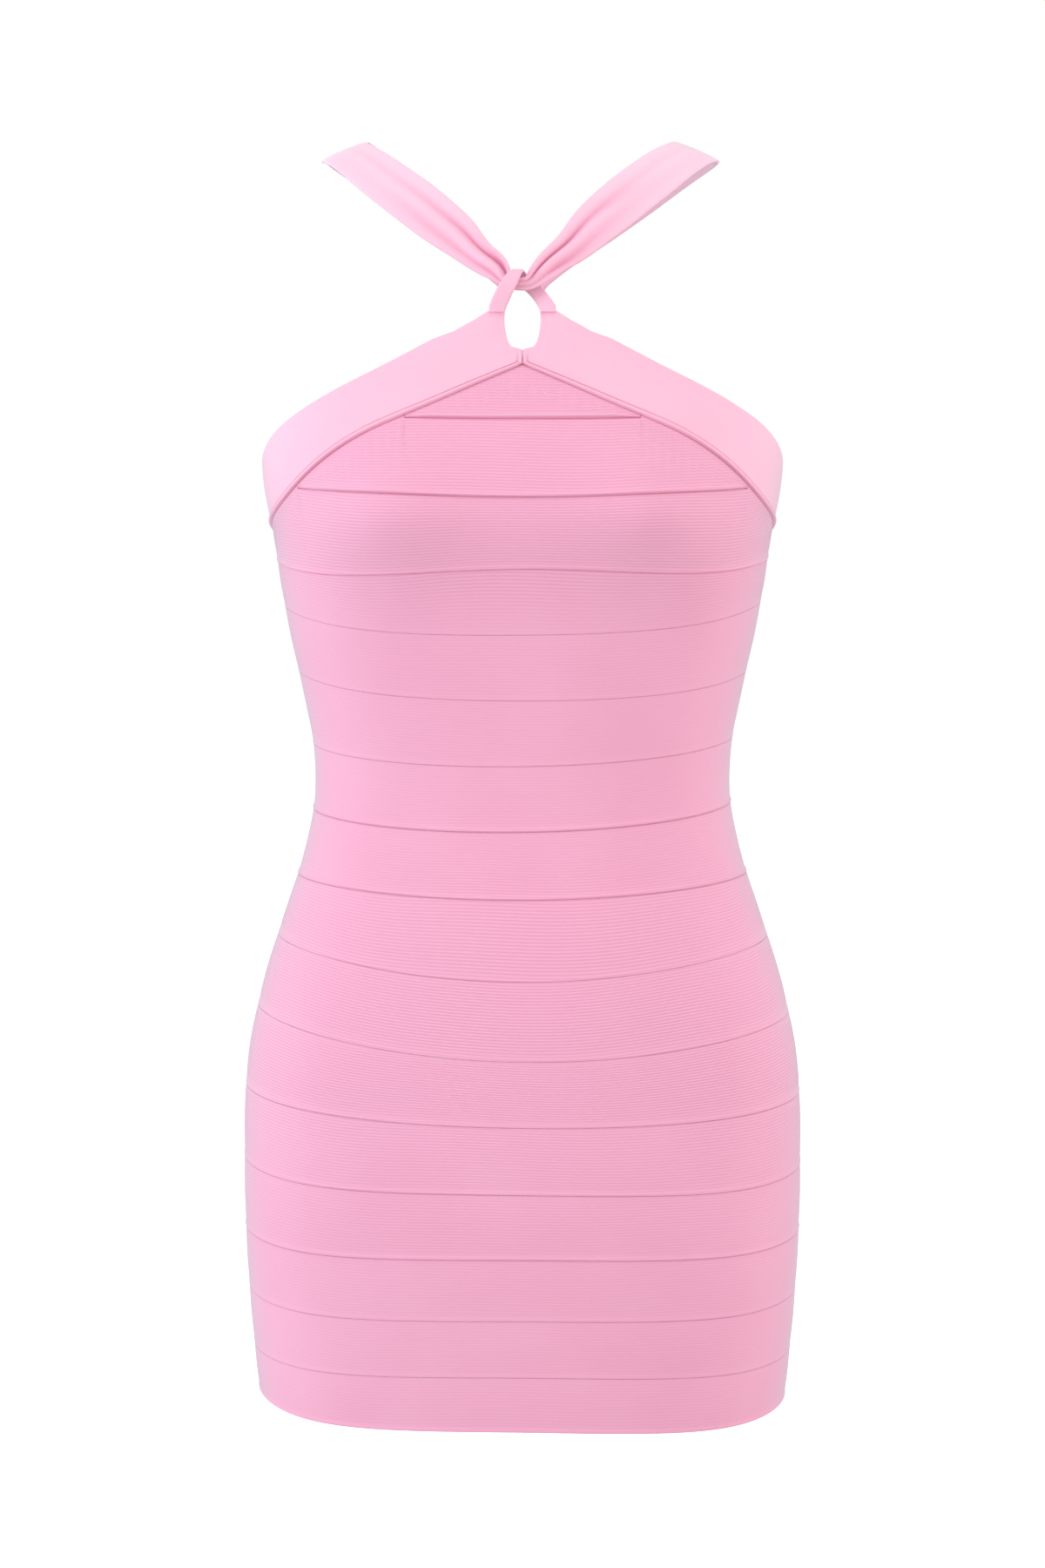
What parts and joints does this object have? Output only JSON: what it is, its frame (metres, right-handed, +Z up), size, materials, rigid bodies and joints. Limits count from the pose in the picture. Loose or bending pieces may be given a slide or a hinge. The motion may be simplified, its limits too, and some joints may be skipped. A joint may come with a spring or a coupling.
{
  "type": "bodycon dress",
  "caption": "Short bandage-knit bodycon dress with a wide neckband, a twisted keyhole front, V-shaped shoulder straps and a centre-back zip.",
  "frame": {"origin": "midway between the two places where the straps cross the shoulders, at the straps' height there", "axes": "+Z up along the body, the front of the dress faces -Y, +X is the right-hand side seen from the front"},
  "size_m": [0.3536, 0.2518, 0.7973],
  "materials": {
    "bandage_knit": "matt pink bandage knit with fine crosswise ribs",
    "smooth_knit": "smooth soft pink knit with a slight sheen",
    "zip_tape": "matt pink woven tape",
    "zip_coil": "pink nylon coil",
    "zip_metal": "pink enamelled metal"
  },
  "bodies": {
    "dress": {"strip_01": "bandage_knit", "strip_02": "bandage_knit", "strip_03": "bandage_knit", "strip_04": "bandage_knit", "strip_05": "bandage_knit", "strip_06": "bandage_knit", "strip_07": "bandage_knit", "strip_08": "bandage_knit", "strip_09": "bandage_knit", "strip_10": "bandage_knit", "strip_11": "bandage_knit", "strip_12": "bandage_knit", "strip_13": "bandage_knit", "strip_14": "bandage_knit", "strip_15": "bandage_knit", "strip_16": "bandage_knit", "neckband_left": "smooth_knit", "neckband_right": "smooth_knit", "front_strap": "smooth_knit", "twist_loop": "smooth_knit", "back_strap_left": "smooth_knit", "back_strap_right": "smooth_knit", "zip_tape_left": "zip_tape", "zip_tape_right": "zip_tape", "zip_coil": "zip_coil", "zip_slider": "zip_metal"},
    "zip_pull": {"zip_pull": "zip_metal"}
  },
  "joints": [
    {"name": "pull_swing", "type": "hinge", "parent": "dress", "child": "zip_pull", "pos_m": [0, 0.10142, -0.26546], "axis": [1, 0, 0], "range_deg": [0, 150]}
  ]
}
